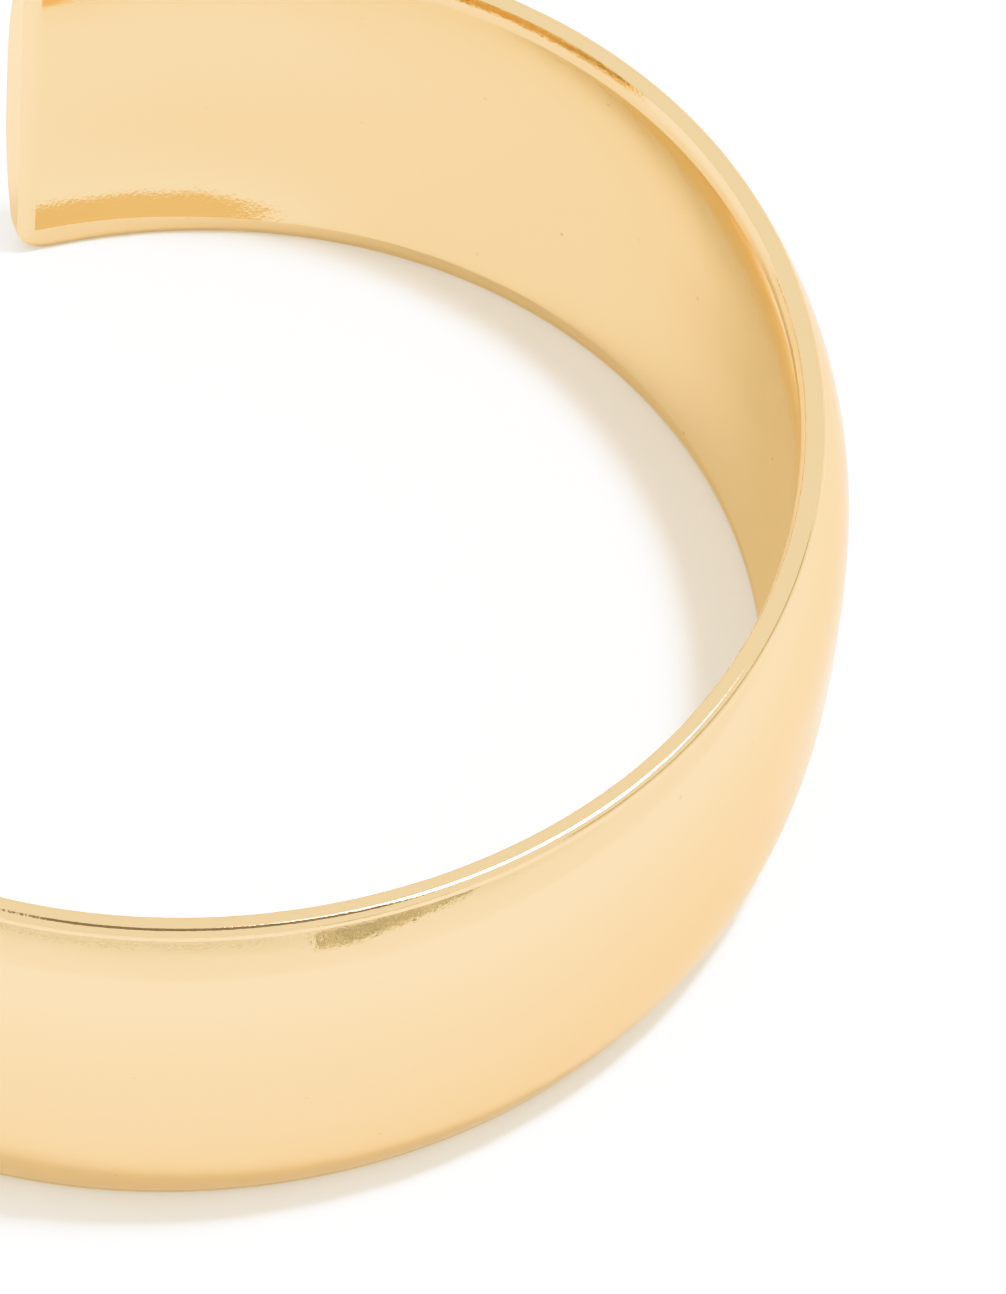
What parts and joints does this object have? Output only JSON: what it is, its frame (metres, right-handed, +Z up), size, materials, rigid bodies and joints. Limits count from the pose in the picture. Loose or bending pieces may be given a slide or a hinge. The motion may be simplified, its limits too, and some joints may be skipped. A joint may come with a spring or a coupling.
{
  "type": "cuff bracelet",
  "caption": "Rigid open cuff bracelet, domed outside and hollowed inside, with a narrow lip all round and round-cornered ends.",
  "frame": {"origin": "on the surface that the cuff lies on, under the middle of its bounding box", "axes": "+Z up across the band, from the lower rim to the upper one; the open gap faces -Y; +X runs across the wrist's wide side"},
  "size_m": [0.0656, 0.058, 0.0218],
  "materials": {
    "polished_gold": "polished pale gold plate, mirror bright with faint polishing marks"
  },
  "bodies": {
    "root": {"cuff_band": "polished_gold"}
  },
  "joints": []
}
